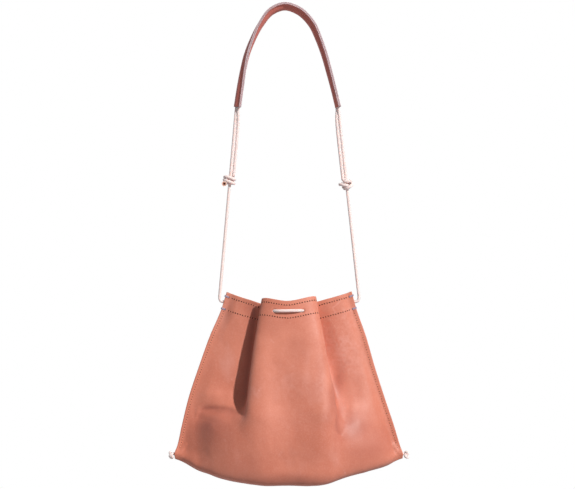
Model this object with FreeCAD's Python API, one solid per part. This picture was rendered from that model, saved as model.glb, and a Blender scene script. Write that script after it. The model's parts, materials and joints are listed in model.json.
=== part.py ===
import FreeCAD, Part
import math
import os

from FreeCAD import Vector

# A drawstring bucket bag that hangs from its strap. Millimetres, +Z up, -Y is the bag's front.
# The origin is the point where a hook or a shoulder carries the strap, under the top of the leather sleeve.

# --- leather and cord ---
HIDE = 2.0                # thickness of the bag's leather
LINING = 1.2              # thickness of the channel facings
CORD = 4.8                # cord diameter
THREAD = 0.9              # sewing thread diameter
THREAD_HEIGHT = HIDE / 2 + THREAD / 6   # middle of a stitch, out from the middle of the leather
STITCH_PITCH = 4.1        # hole to hole
STITCH_LENGTH = 3.0       # thread showing between two holes

# --- channel round the mouth, measured down the leather from its top edge ---
UPPER_ROW = 6.5
LOWER_ROW = 27.0
FACING_TOP = 3.0
FACING_BOTTOM = 31.0
FACING_OFFSET = 6.9       # from the middle of the leather to the middle of the facing
SEAM_FLAT = 7.0           # width along each side where front and back lie flat together
SEAM_FALL = 2.4           # the margin's inner line lies this much lower than the edge
SEAM_ROW = 4.8            # side stitches, in from the edge
SEAM_ROW_ENDS = (1.05, 2.0)   # levels left free above and below the side stitches
CHANNEL_ROW_MARGIN = 1.35  # fold lines left free at each end of a channel row
TACK_LENGTH = 7.2         # corner tacks, from the edge inwards
TACK_TURNS = (-0.024, 0.024)  # the tack's two turns, above and below its row, in levels
HOLE_RADIUS = 2.9         # punched cord holes
HOLE_LEFT_X = -15.0
HOLE_RIGHT_X = 29.0
HOLE_Z = -479.5

# --- swing axis: the line through the two cord entries ---
SWING_Z = -463.5
LEFT_ENTRY_X = -98.0
RIGHT_ENTRY_X = 114.0

# --- strap cords: the straight, load-carrying stretch on each side runs from top to corner (x, z) ---
LEFT_TOP = (-78.0, -172.0)
LEFT_CORNER = (-103.9, SWING_Z)
RIGHT_TOP = (88.0, -172.0)
RIGHT_CORNER = (119.9, SWING_Z)

# --- sliding knots ---
KNOT_BORE = CORD / 2 + 0.3
KNOT_TURN = 6.15          # radius of the knot's turns, to the middle of the cord
KNOT_PITCH = 4.9          # from one turn to the next
KNOT_HEIGHT = 2 * KNOT_PITCH + CORD
LEFT_KNOT_Z = -272.0
RIGHT_KNOT_Z = -279.0
RUN_SHARE = 0.45          # how much of a run of cord each bend may take
STRAND_SPACING = 5.1      # centre to centre where two cords lie side by side
STRAND_BOW = 0.4          # how far the return strand stands off at its middle
STRAND_GAP = 0.1          # from the return strand's end to its knot
LEFT_TAIL = [(-5.0, -5.5, -3.0), (-6.4, -9.0, -5.0), (-8.2, -12.5, -6.8)]
RIGHT_TAIL = [(0.5, 8.2, -1.8), (-3.6, 8.8, -3.2), (-6.8, 8.4, -4.6)]

# --- stop knots outside the lower corners ---
LEFT_STOP = (-181.0, 0.0, -711.5)
RIGHT_STOP = (195.6, 0.0, -711.5)
STOP_LOOP = (3.3, 2.5)    # the knot's outer loop: radius of the ring and of its section
STOP_LOOP_TILT = -0.4
STOP_CORE = 4.4           # radius of the crossing inside the loop
STOP_END = 3.4            # radius of the end that is tucked in below it
STOP_END_PLACE = (1.5, -1.0, -3.6)   # outward, to the back, up

# --- strap sleeve: the arch's middle line (x, z) and how far its raw edges lean away from the arch ---
SLEEVE_ARCH = [
    (-75.0, -155.0), (-70.3, -124.0), (-66.0, -99.0), (-60.3, -73.0), (-50.8, -47.5), (-38.0, -22.5),
    (-20.5, -1.5), (0.0, 6.2), (23.0, -1.0), (43.0, -20.5), (56.0, -47.5), (65.0, -73.0),
    (72.3, -99.0), (79.0, -124.0), (86.5, -155.0),
]
SLEEVE_LEAN = [-26, -24, -18, -10, 0, 12, 22, 27, 27, 24, 20, 17, 15, 13, 12]
# Half of the folded strip's section, 1.8 mm thick: across the fold, and from the fold at the back to the
# raw edges in front.
SLEEVE_OUTSIDE = [(0, -8.6), (3.1, -7.3), (4.4, -4.2), (4.4, 0.9), (3.2, 3.8), (1.95, 6.4), (1.95, 10.0)]
SLEEVE_INSIDE = [(0.15, 10.0), (0.15, 6.2), (1.4, 3.6), (2.6, 0.9), (2.6, -4.2), (1.8, -6.1), (0, -6.8)]
BACK_CORD = -4.2          # where the two cords lie in that section
FRONT_CORD = 0.9

# --- drawstring routes (x, y, z); the back one is the front one turned to +Y ---
CHANNEL = [
    (-76, -5.2, -472.5), (-66, -6.8, -475.8), (-56.5, -8, -478.5), (-45, -6.8, -481.5), (-33.5, -6.5, -483),
    (-30.3, -15, -482.5), (-32.3, -26, -481.2), (-27.5, -35.5, -480.2), (-20, -40, -479.8),
    (-15, -45.2, -479.5), (-8, -50, -479.3), (7, -51.2, -479), (21.5, -49.8, -479), (28.8, -44.8, -479),
    (35.5, -40, -478.4), (44, -36, -477.8), (46.5, -26, -479.2), (44.4, -16, -480.8), (50.5, -8.6, -481.2),
    (62, -8.8, -480.2), (72.7, -9.3, -477.8), (83, -7.6, -475),
]
LEFT_INLET = [(LEFT_ENTRY_X + 1, 0, SWING_Z), (-87, -1.2, -465.5)]
RIGHT_INLET = [(RIGHT_ENTRY_X - 1, 0, SWING_Z), (103, -1.2, -465)]
RIGHT_DESCENT = [
    (92, -3.6, -475), (98, -2, -487), (105, -0.8, -504), (116, 0, -537), (130.5, 0, -580),
    (145, 0, -625), (159, 0, -667), (172, 0, -696), (181, 0, -706.5), (191.5, 0, -710),
]
LEFT_DESCENT = [
    (-83.5, -1.4, -475), (-88, -0.6, -488), (-93.5, 0, -505), (-103, 0, -537), (-116, 0, -580),
    (-130, 0, -625), (-144, 0, -665), (-155.5, 0, -695), (-166, 0, -706.5), (-176.9, 0, -710),
]

# --- fold lines of one face of the bag, each from the top edge down the front to the middle of the base ---
# Levels: top edge, lower stitch row, then down the face, lower belly, base edge, middle of the base.
LEFT_SEAM = [
    (-92, -4.8, -451), (-100.5, -2.2, -478), (-118.5, -1.3, -520), (-136.5, -1.3, -570), (-153, -1.3, -620),
    (-164, -1.3, -665), (-171.5, -1.6, -698), (-175.5, -3.6, -709.5), (-174.5, 0, -717),
]
LEFT_OUTER = [
    (-74, -9.5, -457.2), (-80, -8.8, -484), (-95, -5, -521), (-109, -5.5, -570), (-123, -7.5, -618),
    (-143, -6, -665), (-143, -13, -702), (-139, -19, -729), (-138, 0, -735),
]
LEFT_MIDDLE = [
    (-54, -15, -463.3), (-59, -11, -489), (-68, -9.5, -522), (-78, -10, -570), (-89, -12.5, -620),
    (-109, -30, -656), (-110, -38, -704), (-107, -36, -738), (-107, 0, -744),
]
LEFT_TUCK = [
    (-33, -20, -469), (-35, -11, -494), (-41, -9.5, -523), (-49, -11, -570), (-59, -17, -617),
    (-70, -49, -653), (-77, -55, -702), (-75, -46, -745.5), (-75, 0, -751),
]
LEFT_FOLD = [
    (-35, -31, -461.5), (-39.5, -34, -487), (-45, -39, -521), (-51, -46, -570), (-55.5, -53, -618),
    (-58, -60, -653), (-50, -62, -705), (-45, -50, -749), (-45, 0, -754),
]
CENTRE = [
    (6, -45, -463.8), (6, -47, -489), (5, -50, -521), (5, -55, -570), (6, -60, -618),
    (8, -64, -658), (9, -64, -704), (9, -52, -750.5), (9, 0, -755.5),
]
RIGHT_FOLD = [
    (49.5, -31, -457.8), (54, -35, -484), (61, -41, -520), (70, -48, -570), (77, -54, -618),
    (77, -60, -655), (70, -62, -705), (68, -50, -748), (68, 0, -752.5),
]
RIGHT_TUCK = [
    (46, -14, -466.5), (50, -12, -492), (57, -12, -523), (68, -13, -570), (80, -22, -617),
    (89, -46, -662), (94, -51, -703), (94, -41, -740), (95, 0, -746),
]
RIGHT_MIDDLE = [
    (70, -13, -461), (75, -13, -487), (86, -12.5, -522), (99, -12.5, -570), (112, -17, -620),
    (124, -32, -665), (130, -38, -703), (130, -29, -731), (131, 0, -737),
]
RIGHT_OUTER = [
    (90, -10, -455.5), (96, -9.4, -482), (109, -7, -521), (124, -7.5, -570), (138, -10, -620),
    (151, -15, -665), (160, -20, -700), (162, -15, -722), (163, 0, -727.5),
]
RIGHT_SEAM = [
    (107.5, -4.8, -450), (115, -2.2, -477), (130, -1.3, -520), (144.5, -1.3, -570), (160.5, -1.3, -620),
    (175.5, -1.3, -665), (185.5, -1.6, -698), (189.5, -3.6, -709.5), (189, 0, -716),
]


def flat_line(seam, inward):
    """Line where the flat seam margin ends."""
    return [(x + inward * SEAM_FLAT, y * 1.1, z - SEAM_FALL) for x, y, z in seam]


FOLD_LINES = [
    LEFT_SEAM, flat_line(LEFT_SEAM, 1), LEFT_OUTER, LEFT_MIDDLE, LEFT_TUCK, LEFT_FOLD, CENTRE,
    RIGHT_FOLD, RIGHT_TUCK, RIGHT_MIDDLE, RIGHT_OUTER, flat_line(RIGHT_SEAM, -1), RIGHT_SEAM,
]
BASE_LEVEL = len(CENTRE) - 1
FRONT = (0, -1, 0)


def export(name, shape):
    """Write one sub-part and say what it is."""
    shape.exportStep(os.path.join("parts", name + ".step"))
    print(f"{name}: valid {shape.isValid()}, solids {len(shape.Solids)}, volume {shape.Volume:.0f} mm3")


# ---------------------------------------------------------------- cords

def corner_arc(before, corner, after, reach):
    """Tangent arc that rounds one corner of a route, from reach before it to reach after it."""
    back = (before - corner).normalize()
    ahead = (after - corner).normalize()
    half_turn = (math.pi - back.getAngle(ahead)) / 2
    radius = reach / math.tan(half_turn)
    start = corner + back * reach
    end = corner + ahead * reach
    bisector = (back + ahead).normalize()
    middle = corner + bisector * (radius / math.cos(half_turn) - radius)
    return start, middle, end, radius


def cord_path(points, free_end_share=RUN_SHARE):
    """Straight runs joined by tangent arcs. The last run ends free, so its arc may use more of it."""
    route = [Vector(*p) for p in points]
    edges, radii = [], []
    at = route[0]
    for i in range(1, len(route) - 1):
        before, corner, after = route[i - 1], route[i], route[i + 1]
        share = free_end_share if i == len(route) - 2 else RUN_SHARE
        reach = min(RUN_SHARE * (corner - before).Length, share * (after - corner).Length)
        start, middle, end, radius = corner_arc(before, corner, after, reach)
        edges.append(Part.LineSegment(at, start).toShape())
        edges.append(Part.Arc(start, middle, end).toShape())
        radii.append(radius)
        at = end
    edges.append(Part.LineSegment(at, route[-1]).toShape())
    return Part.Wire(edges), radii


def cord_tube(name, points, free_end_share=RUN_SHARE):
    """Round cord along a route; prints its length, its radii and how true its volume is."""
    wire, radii = cord_path(points, free_end_share)
    start = Vector(*points[0])
    direction = (Vector(*points[1]) - start).normalize()
    section = Part.Wire(Part.makeCircle(CORD / 2, start, direction))
    tube = wire.makePipeShell([section], True, False)
    ideal = math.pi * CORD ** 2 / 4 * wire.Length
    shown = ", ".join(f"{r:.0f}" for r in radii)
    print(f"{name}: length {wire.Length:.0f} mm, radii {shown}, volume ratio {tube.Volume / ideal:.4f}")
    return tube


# ---------------------------------------------------------------- leather

def slope(points, i):
    """Direction of a smooth curve at its point i."""
    if i == 0:
        return (points[1] - points[0]) / points[0].distanceToPoint(points[1])
    if i == len(points) - 1:
        return (points[i] - points[i - 1]) / points[i].distanceToPoint(points[i - 1])
    before = points[i].distanceToPoint(points[i - 1])
    after = points[i].distanceToPoint(points[i + 1])
    return ((points[i] - points[i - 1]) * (after / before)
            + (points[i + 1] - points[i]) * (before / after)) / (before + after)


def along(points, at):
    """Point of the smooth curve through a row of points, at a fractional place on it."""
    i = min(int(at), len(points) - 2)
    t = at - i
    span = points[i].distanceToPoint(points[i + 1])
    return (points[i] * (2 * t ** 3 - 3 * t ** 2 + 1)
            + slope(points, i) * span * (t ** 3 - 2 * t ** 2 + t)
            + points[i + 1] * (3 * t ** 2 - 2 * t ** 3)
            + slope(points, i + 1) * span * (t ** 3 - t ** 2))


def whole_lines():
    """Each fold line down the front, under the base and up the back."""
    lines = []
    for line in FOLD_LINES:
        front = [Vector(*p) for p in line]
        back = [Vector(x, -y, z) for x, y, z in line[:BASE_LEVEL]]
        lines.append(front + back[::-1])
    return lines


LINES = whole_lines()
ACROSS = len(LINES) - 1
DOWN = len(LINES[0]) - 1


def hide_point(across, down):
    """Middle of the leather: across counts fold lines from the left, down counts levels from the front."""
    return along([along(line, down) for line in LINES], across)


def hide_normal(across, down):
    """Unit normal that points into the bag."""
    step = 0.02
    a0, a1 = max(across - step, 0), min(across + step, ACROSS)
    d0, d1 = max(down - step, 0), min(down + step, DOWN)
    sideways = hide_point(a1, down) - hide_point(a0, down)
    downward = hide_point(across, d1) - hide_point(across, d0)
    return sideways.cross(downward).normalize()


def offset_point(across, down, offset):
    return hide_point(across, down) + hide_normal(across, down) * offset


def triangle(a, b, c):
    return Part.Face(Part.makePolygon([a, b, c, a]))


def quad(a, b, c, d):
    return [triangle(a, b, c), triangle(a, c, d)]


def skin(outer, inner):
    """Closed solid of flat facets between two grids of points."""
    faces = []
    columns, rows = len(outer) - 1, len(outer[0]) - 1
    for i in range(columns):
        for j in range(rows):
            faces += quad(outer[i][j], outer[i + 1][j], outer[i + 1][j + 1], outer[i][j + 1])
            faces += quad(inner[i][j], inner[i][j + 1], inner[i + 1][j + 1], inner[i + 1][j])
        faces += quad(outer[i][0], inner[i][0], inner[i + 1][0], outer[i + 1][0])
        faces += quad(outer[i][rows], outer[i + 1][rows], inner[i + 1][rows], inner[i][rows])
    for j in range(rows):
        faces += quad(outer[0][j], outer[0][j + 1], inner[0][j + 1], inner[0][j])
        faces += quad(outer[columns][j], inner[columns][j], inner[columns][j + 1], outer[columns][j + 1])
    shell = Part.makeShell(faces)
    shell.sewShape()
    solid = Part.makeSolid(shell)
    if solid.Volume < 0:
        solid.reverse()
    return solid


def spread(first, last, count):
    return [first + (last - first) * i / count for i in range(count + 1)]


def rows_of(points, length):
    return [points[i:i + length] for i in range(0, len(points), length)]


def hide():
    """One hide: front, base and back, with two punched cord holes in each face."""
    columns, rows = 3 * ACROSS, 2 * DOWN
    places = [(a, d) for a in spread(0, ACROSS, columns) for d in spread(0, DOWN, rows)]
    outer = rows_of([offset_point(a, d, -HIDE / 2) for a, d in places], rows + 1)
    inner = rows_of([offset_point(a, d, HIDE / 2) for a, d in places], rows + 1)
    body = skin(outer, inner)
    through = 140
    for x in (HOLE_LEFT_X, HOLE_RIGHT_X):
        start = Vector(x, -through / 2, HOLE_Z)
        body = body.cut(Part.makeCylinder(HOLE_RADIUS, through, start, Vector(0, 1, 0)))
    return body


def below_edge(across, distance):
    """Level that lies a distance down the leather from the top edge."""
    step = 0.02
    down, path = 0.0, 0.0
    last = hide_point(across, 0)
    while path < distance:
        down += step
        point = hide_point(across, down)
        path += point.distanceToPoint(last)
        last = point
    return down


def facing():
    """Lining strip that closes the front channel; it clears the cord that runs behind the leather."""
    margin, rows = 2, 4
    outer, inner = [], []
    for a in spread(margin, ACROSS - margin, 2 * (ACROSS - 2 * margin)):
        levels = spread(below_edge(a, FACING_TOP), below_edge(a, FACING_BOTTOM), rows)
        outer.append([offset_point(a, d, FACING_OFFSET - LINING / 2) for d in levels])
        inner.append([offset_point(a, d, FACING_OFFSET + LINING / 2) for d in levels])
    return skin(outer, inner)


def to_back(shape):
    """The same piece on the bag's back."""
    return shape.mirror(Vector(0, 0, 0), Vector(0, 1, 0))


# ---------------------------------------------------------------- sewing

def stitch(place, ahead):
    """One stitch of thread, half sunk in the leather."""
    direction = (ahead - place).normalize()
    return Part.makeCylinder(THREAD / 2, STITCH_LENGTH, place, direction)


def walk(places):
    """Stitches at an even pitch along a row of surface points."""
    stitches = []
    gone = 0.0
    for here, ahead in zip(places, places[1:]):
        gone += here.distanceToPoint(ahead)
        if gone >= STITCH_PITCH:
            gone -= STITCH_PITCH
            stitches.append(stitch(here, ahead))
    return stitches


def channel_stitches(distance):
    """Row across the front, a distance below the top edge, between the corner tacks."""
    fine, coarse = 60, 4
    levels = [below_edge(a, distance) for a in spread(0, ACROSS, coarse * ACROSS)]
    places = []
    for a in spread(CHANNEL_ROW_MARGIN, ACROSS - CHANNEL_ROW_MARGIN, fine * ACROSS):
        low = int(a * coarse)
        share = a * coarse - low
        down = levels[low] + (levels[low + 1] - levels[low]) * share
        places.append(offset_point(a, down, -THREAD_HEIGHT))
    return Part.makeCompound(walk(places))


def seam_stitches(edge, inward):
    """Row down one side, on the front and on the back."""
    fine = 900
    first, last = SEAM_ROW_ENDS[0], BASE_LEVEL - SEAM_ROW_ENDS[1]
    across = edge + inward * SEAM_ROW / SEAM_FLAT
    front = walk([offset_point(across, d, -THREAD_HEIGHT) for d in spread(first, last, fine)])
    return Part.makeCompound(front + [to_back(s) for s in front])


def tack(across_edge, inward, distance):
    """Two turns of thread that bind front and back together round the side edge."""
    turns = []
    height = HIDE / 2 + THREAD / 3
    for shift in TACK_TURNS:
        level = below_edge(across_edge, distance) + shift
        edge = offset_point(across_edge, level, -height)
        inner = offset_point(across_edge + inward, level, -height)
        outward = (edge - inner).normalize()
        start = edge - outward * TACK_LENGTH
        bend = edge + outward * THREAD
        route = [start, bend, Vector(bend.x, -bend.y, bend.z), Vector(start.x, -start.y, start.z)]
        wire, _ = cord_path([tuple(p) for p in route])
        section = Part.Wire(Part.makeCircle(THREAD / 2, route[0], route[1] - route[0]))
        turns.append(wire.makePipeShell([section], True, False))
    return turns


def corner_tacks(edge, inward):
    return Part.makeCompound(tack(edge, inward, UPPER_ROW) + tack(edge, inward, LOWER_ROW))


# ---------------------------------------------------------------- strap

def arch_stations():
    """At each station of the arch: its point, the section's across axis and its axis to the raw edges."""
    points = [Vector(x, 0, z) for x, z in SLEEVE_ARCH]
    front = Vector(*FRONT)
    stations = []
    for i, lean in enumerate(SLEEVE_LEAN):
        tangent = slope(points, i).normalize()
        outward = Vector(-tangent.z, 0, tangent.x)
        angle = math.radians(lean)
        across = outward * math.cos(angle) - front * math.sin(angle)
        to_edges = front * math.cos(angle) + outward * math.sin(angle)
        stations.append((points[i], across, to_edges))
    return stations


def strap_sleeve():
    """Strip of leather folded lengthwise round the cords."""
    left = [(-a, b) for a, b in SLEEVE_INSIDE[-2::-1]] + [(-a, b) for a, b in SLEEVE_OUTSIDE[:0:-1]]
    outline = SLEEVE_OUTSIDE + SLEEVE_INSIDE + left
    wires = []
    for point, across, to_edges in arch_stations():
        corners = [point + across * a + to_edges * b for a, b in outline]
        wires.append(Part.makePolygon(corners + corners[:1]))
    return Part.makeLoft(wires, True, False)


def through_sleeve(place):
    """Route of a cord inside the sleeve, from the left mouth to the right one."""
    return [tuple(point + to_edges * place) for point, _, to_edges in arch_stations()]


def strap_cord(name, sleeve_route, top, corner, entry):
    """Cord from one sleeve mouth through the sleeve, then straight down the other side to the bag."""
    end = [(top[0], 0, top[1]), (corner[0], 0, corner[1]), (entry, 0, SWING_Z)]
    return cord_tube(name, sleeve_route + end, free_end_share=2 * RUN_SHARE)


def standing_line(top, corner):
    """Point and direction of the straight stretch that a knot slides on."""
    start = Vector(top[0], 0, top[1])
    return start, (Vector(corner[0], 0, corner[1]) - start).normalize()


def at_height(top, corner, z):
    start, direction = standing_line(top, corner)
    return start + direction * ((z - start.z) / direction.z)


def sliding_knot(top, corner, z):
    """Three turns of cord round the standing cord, with room to slide on it."""
    centre = at_height(top, corner, z)
    _, direction = standing_line(top, corner)
    wall = KNOT_HEIGHT - CORD / 2
    knot = Part.makeCylinder(KNOT_TURN - 0.5, wall, centre - direction * (wall / 2), direction)
    for turn in (-1, 0, 1):
        middle = centre + direction * (turn * KNOT_PITCH)
        knot = knot.fuse(Part.makeTorus(KNOT_TURN, CORD / 2, middle, direction))
    below = centre - direction * KNOT_HEIGHT
    return knot.cut(Part.makeCylinder(KNOT_BORE, 2 * KNOT_HEIGHT, below, direction))


def return_strand(name, mouth, top, corner, inward, knot_z):
    """Second strand beside the standing cord, from the sleeve to the top of the knot."""
    beside = Vector(inward * STRAND_SPACING, 0, 0)
    bowed = Vector(inward * (STRAND_SPACING + STRAND_BOW), 0, 0)
    upper = at_height(top, corner, top[1]) + beside
    middle = at_height(top, corner, (top[1] + knot_z) / 2) + bowed
    _, direction = standing_line(top, corner)
    end = at_height(top, corner, knot_z) - direction * (KNOT_HEIGHT / 2 + STRAND_GAP) + beside
    return cord_tube(name, [mouth, tuple(upper), tuple(middle), tuple(end)])


def knot_tail(name, top, corner, z, route):
    """Cut end of the cord where it leaves its knot."""
    centre = at_height(top, corner, z)
    return cord_tube(name, [tuple(centre + Vector(*p)) for p in route])


def stop_knot(centre, side):
    """Overhand knot that keeps the cord from pulling back into the corner."""
    middle = Vector(*centre)
    outward, back, up = STOP_END_PLACE
    knot = Part.makeTorus(*STOP_LOOP, middle, Vector(side, 0, STOP_LOOP_TILT))
    knot = knot.fuse(Part.makeSphere(STOP_CORE, middle))
    return knot.fuse(Part.makeSphere(STOP_END, middle + Vector(side * outward, back, up)))


def main():
    os.makedirs("parts", exist_ok=True)
    export("hide", hide())
    front_facing = facing()
    export("front_channel_facing", front_facing)
    export("back_channel_facing", to_back(front_facing))

    front_route = LEFT_INLET + CHANNEL + RIGHT_DESCENT
    back_route = RIGHT_INLET + CHANNEL[::-1] + LEFT_DESCENT
    export("front_drawstring", cord_tube("front_drawstring", front_route))
    export("back_drawstring", to_back(cord_tube("back_drawstring", back_route)))
    export("left_stop_knot", stop_knot(LEFT_STOP, -1))
    export("right_stop_knot", stop_knot(RIGHT_STOP, 1))

    for row, distance in (("upper", UPPER_ROW), ("lower", LOWER_ROW)):
        stitches = channel_stitches(distance)
        export(f"front_{row}_channel_stitches", stitches)
        export(f"back_{row}_channel_stitches", to_back(stitches))
    export("left_seam_stitches", seam_stitches(0, 1))
    export("right_seam_stitches", seam_stitches(ACROSS, -1))
    export("left_corner_tacks", corner_tacks(0, 1))
    export("right_corner_tacks", corner_tacks(ACROSS, -1))

    export("strap_sleeve", strap_sleeve())
    back_way, front_way = through_sleeve(BACK_CORD), through_sleeve(FRONT_CORD)
    sides = [
        ("left", LEFT_TOP, LEFT_CORNER, LEFT_ENTRY_X, LEFT_KNOT_Z, back_way[::-1], front_way[0], LEFT_TAIL),
        ("right", RIGHT_TOP, RIGHT_CORNER, RIGHT_ENTRY_X, RIGHT_KNOT_Z, front_way, back_way[-1], RIGHT_TAIL),
    ]
    for side, top, corner, entry, knot_z, way, mouth, tail in sides:
        inward = 1 if side == "left" else -1
        cord, strand, end = f"{side}_strap_cord", f"{side}_return_strand", f"{side}_knot_tail"
        export(cord, strap_cord(cord, way, top, corner, entry))
        export(strand, return_strand(strand, mouth, top, corner, inward, knot_z))
        export(f"{side}_sliding_knot", sliding_knot(top, corner, knot_z))
        export(end, knot_tail(end, top, corner, knot_z, tail))


main()
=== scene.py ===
import json
import math

import bpy
import numpy as np
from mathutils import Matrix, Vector


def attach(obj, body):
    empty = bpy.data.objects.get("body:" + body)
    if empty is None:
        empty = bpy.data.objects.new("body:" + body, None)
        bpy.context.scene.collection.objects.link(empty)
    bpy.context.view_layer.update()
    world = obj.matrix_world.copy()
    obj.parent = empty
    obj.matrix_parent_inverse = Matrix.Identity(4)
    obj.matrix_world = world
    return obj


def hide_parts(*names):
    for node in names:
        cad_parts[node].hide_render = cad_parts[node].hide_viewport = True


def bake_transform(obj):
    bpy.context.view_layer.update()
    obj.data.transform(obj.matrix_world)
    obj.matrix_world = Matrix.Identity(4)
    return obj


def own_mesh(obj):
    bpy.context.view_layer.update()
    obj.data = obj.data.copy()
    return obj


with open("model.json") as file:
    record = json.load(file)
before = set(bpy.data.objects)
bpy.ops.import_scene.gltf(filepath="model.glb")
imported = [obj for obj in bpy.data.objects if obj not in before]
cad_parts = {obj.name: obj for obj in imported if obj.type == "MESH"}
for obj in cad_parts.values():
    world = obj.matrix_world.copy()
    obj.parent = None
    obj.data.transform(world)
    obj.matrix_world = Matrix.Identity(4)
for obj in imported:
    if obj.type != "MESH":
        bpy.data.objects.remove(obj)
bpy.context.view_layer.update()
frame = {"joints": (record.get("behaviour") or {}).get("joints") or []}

MM = 0.001
JOINTS = {j["name"]: j for j in frame["joints"]}

# Sizes in millimetres, as the design has them, in the row frame: +Z up, -Y the bag's front.
HIDE = 2.0
LINING = 1.2
CORD = 4.8
THREAD = 0.8
STITCH_PITCH = 4.1
UPPER_ROW = 6.5
LOWER_ROW = 27.0
SEAM_FLAT = 7.0
SEAM_FALL = 2.4
SEAM_ROW = 4.8
HOLE_RADIUS = 2.75
HOLES_X = (-15.0, 29.0)
HOLE_Z = -479.5
HOLE_MARGIN = 0.35        # mesh cells this close to a hole's edge are dropped with it
HOLE_DEPTH = 30           # only the panels that lie this far out are punched
ROW_MARGIN = 1.35         # fold lines left free at each end of a channel row
SEAM_ROW_ENDS = (1.05, 2.0)   # levels left free above and below the side stitches
SWING_Z = JOINTS["bag_swing"]["pos_m"][2] / MM

# ------------------------------------------------------------------ camera

FRAME_WIDTH = 0.920       # metres across the picture at the bag
CAMERA_DISTANCE = 3.2
CAMERA_AIM = Vector((0.0051, 0.0, -0.3748))
SENSOR = 36.0


def make_camera():
    data = bpy.data.cameras.new("camera")
    data.sensor_width = SENSOR
    data.lens = SENSOR * CAMERA_DISTANCE / FRAME_WIDTH
    data.clip_end = 60
    camera = bpy.data.objects.new("camera", data)
    camera.location = CAMERA_AIM + Vector((0, -CAMERA_DISTANCE, 0))
    camera.rotation_euler = (math.radians(90), 0, 0)
    bpy.context.scene.collection.objects.link(camera)
    bpy.context.scene.camera = camera


make_camera()

# ------------------------------------------------------------------ meshes


def add_mesh(name, points, faces, materials, face_material=None):
    """Smooth object from points in millimetres; face_material gives each face's place in materials."""
    mesh = bpy.data.meshes.new(name)
    mesh.from_pydata((np.asarray(points, float) * MM).tolist(), [], faces)
    for material in materials:
        mesh.materials.append(material)
    if face_material is not None:
        mesh.polygons.foreach_set("material_index", np.asarray(face_material, np.int32))
    mesh.polygons.foreach_set("use_smooth", np.full(len(mesh.polygons), True))
    mesh.update()
    obj = bpy.data.objects.new(name, mesh)
    bpy.context.scene.collection.objects.link(obj)
    return obj


def stand_for(obj, slot, body, *nodes):
    """Hide the CAD nodes that a piece replaces, and attach it to the body that carries it; slot is not used.
    """
    if nodes:
        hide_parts(*nodes)
    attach(obj, body)


def ring_faces(count, ring, first=0):
    """Four-cornered faces between neighbouring rings of points."""
    faces = []
    for i in range(count - 1):
        low, high = first + i * ring, first + (i + 1) * ring
        for j in range(ring):
            k = (j + 1) % ring
            faces.append((low + j, low + k, high + k, high + j))
    return faces


def unit(v):
    return v / np.maximum(np.linalg.norm(v, axis=-1, keepdims=True), 1e-12)


def slopes(points):
    """Direction of a smooth curve at each of its points, which run along the first axis."""
    steps = np.diff(points, axis=0)
    gaps = np.linalg.norm(steps, axis=-1, keepdims=True)
    steps = steps / gaps
    out = np.empty_like(points)
    out[0], out[-1] = steps[0], steps[-1]
    out[1:-1] = (steps[:-1] * gaps[1:] + steps[1:] * gaps[:-1]) / (gaps[:-1] + gaps[1:])
    return out


def along(points, at):
    """Smooth curve through points (first axis), read at fractional places."""
    points = np.asarray(points, float)
    at = np.asarray(at, float)
    i = np.minimum(at.astype(int), len(points) - 2)
    t = (at - i).reshape((-1,) + (1,) * (points.ndim - 1))
    tangents = slopes(points)
    span = np.linalg.norm(points[i + 1] - points[i], axis=-1, keepdims=True)
    return (points[i] * (2 * t ** 3 - 3 * t ** 2 + 1) + tangents[i] * span * (t ** 3 - 2 * t ** 2 + t)
            + points[i + 1] * (3 * t ** 2 - 2 * t ** 3) + tangents[i + 1] * span * (t ** 3 - t ** 2))


# ------------------------------------------------------------------ cords


def spline_path(name, points):
    """Points along the smooth curve that has a cord's route as its control points, in millimetres."""
    curve = bpy.data.curves.new(name, "CURVE")
    curve.dimensions = "3D"
    curve.resolution_u = 14
    spline = curve.splines.new("NURBS")
    spline.points.add(len(points) - 1)
    for place, (x, y, z) in zip(spline.points, points):
        place.co = (x * MM, y * MM, z * MM, 1)
    spline.order_u = 3
    spline.use_endpoint_u = True
    obj = bpy.data.objects.new(name, curve)
    bpy.context.scene.collection.objects.link(obj)
    mesh = bpy.data.meshes.new_from_object(obj)
    path = np.array([v.co for v in mesh.vertices]) / MM
    bpy.data.objects.remove(obj)
    bpy.data.curves.remove(curve)
    bpy.data.meshes.remove(mesh)
    return path


def lengths_along(line):
    """How far along a line each of its points lies."""
    return np.concatenate([[0], np.cumsum(np.linalg.norm(np.diff(line, axis=0), axis=1))])


def read_at(places, gone, values):
    """Points or directions of a line, read at given distances along it."""
    return np.stack([np.interp(places, gone, values[:, k]) for k in range(3)], axis=1)


def path_frames(path):
    """Two directions across a line at each of its points, carried along without twist."""
    ahead = unit(np.gradient(path, axis=0))
    guess = np.array([0, 1, 0]) if abs(ahead[0][1]) < 0.8 else np.array([1, 0, 0])
    sides = [unit(guess - ahead[0] * np.dot(guess, ahead[0]))]
    for direction in ahead[1:]:
        sides.append(unit(sides[-1] - direction * np.dot(sides[-1], direction)))
    sides = np.array(sides)
    return sides, np.cross(ahead, sides)


def ring_points(line, wide, turn):
    """Rings of points round a line; wide holds each ring's radius, or the radius of each of its points."""
    side, up = path_frames(line)
    return (line[:, None] + side[:, None] * (np.cos(turn) * wide)[:, :, None]
            + up[:, None] * (np.sin(turn) * wide)[:, :, None]).reshape(-1, 3)


STRANDS = 10              # ribs of cord seen round its outside
RIB_TURN = 5.2            # cord length for one full turn of a rib
RIB_HEIGHT = 0.02
CORD_RING = 20            # points round a cord
# How a cut end closes, step by step: share of the end's radius, how far out it lies, and its material.
PLAIN_END = [(0.62, 0.45, 0), (0.0, 0.1, 0)]
CORED_END = [(0.62, 0.45, 0), (0.0, 0.1, 1)]
# An open end's dark middle is painted shade in the cord's hollow.
OPEN_END = [(0.74, 0.25, 0), (0.40, 0.05, 1), (0.0, -0.9, 2)]


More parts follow.
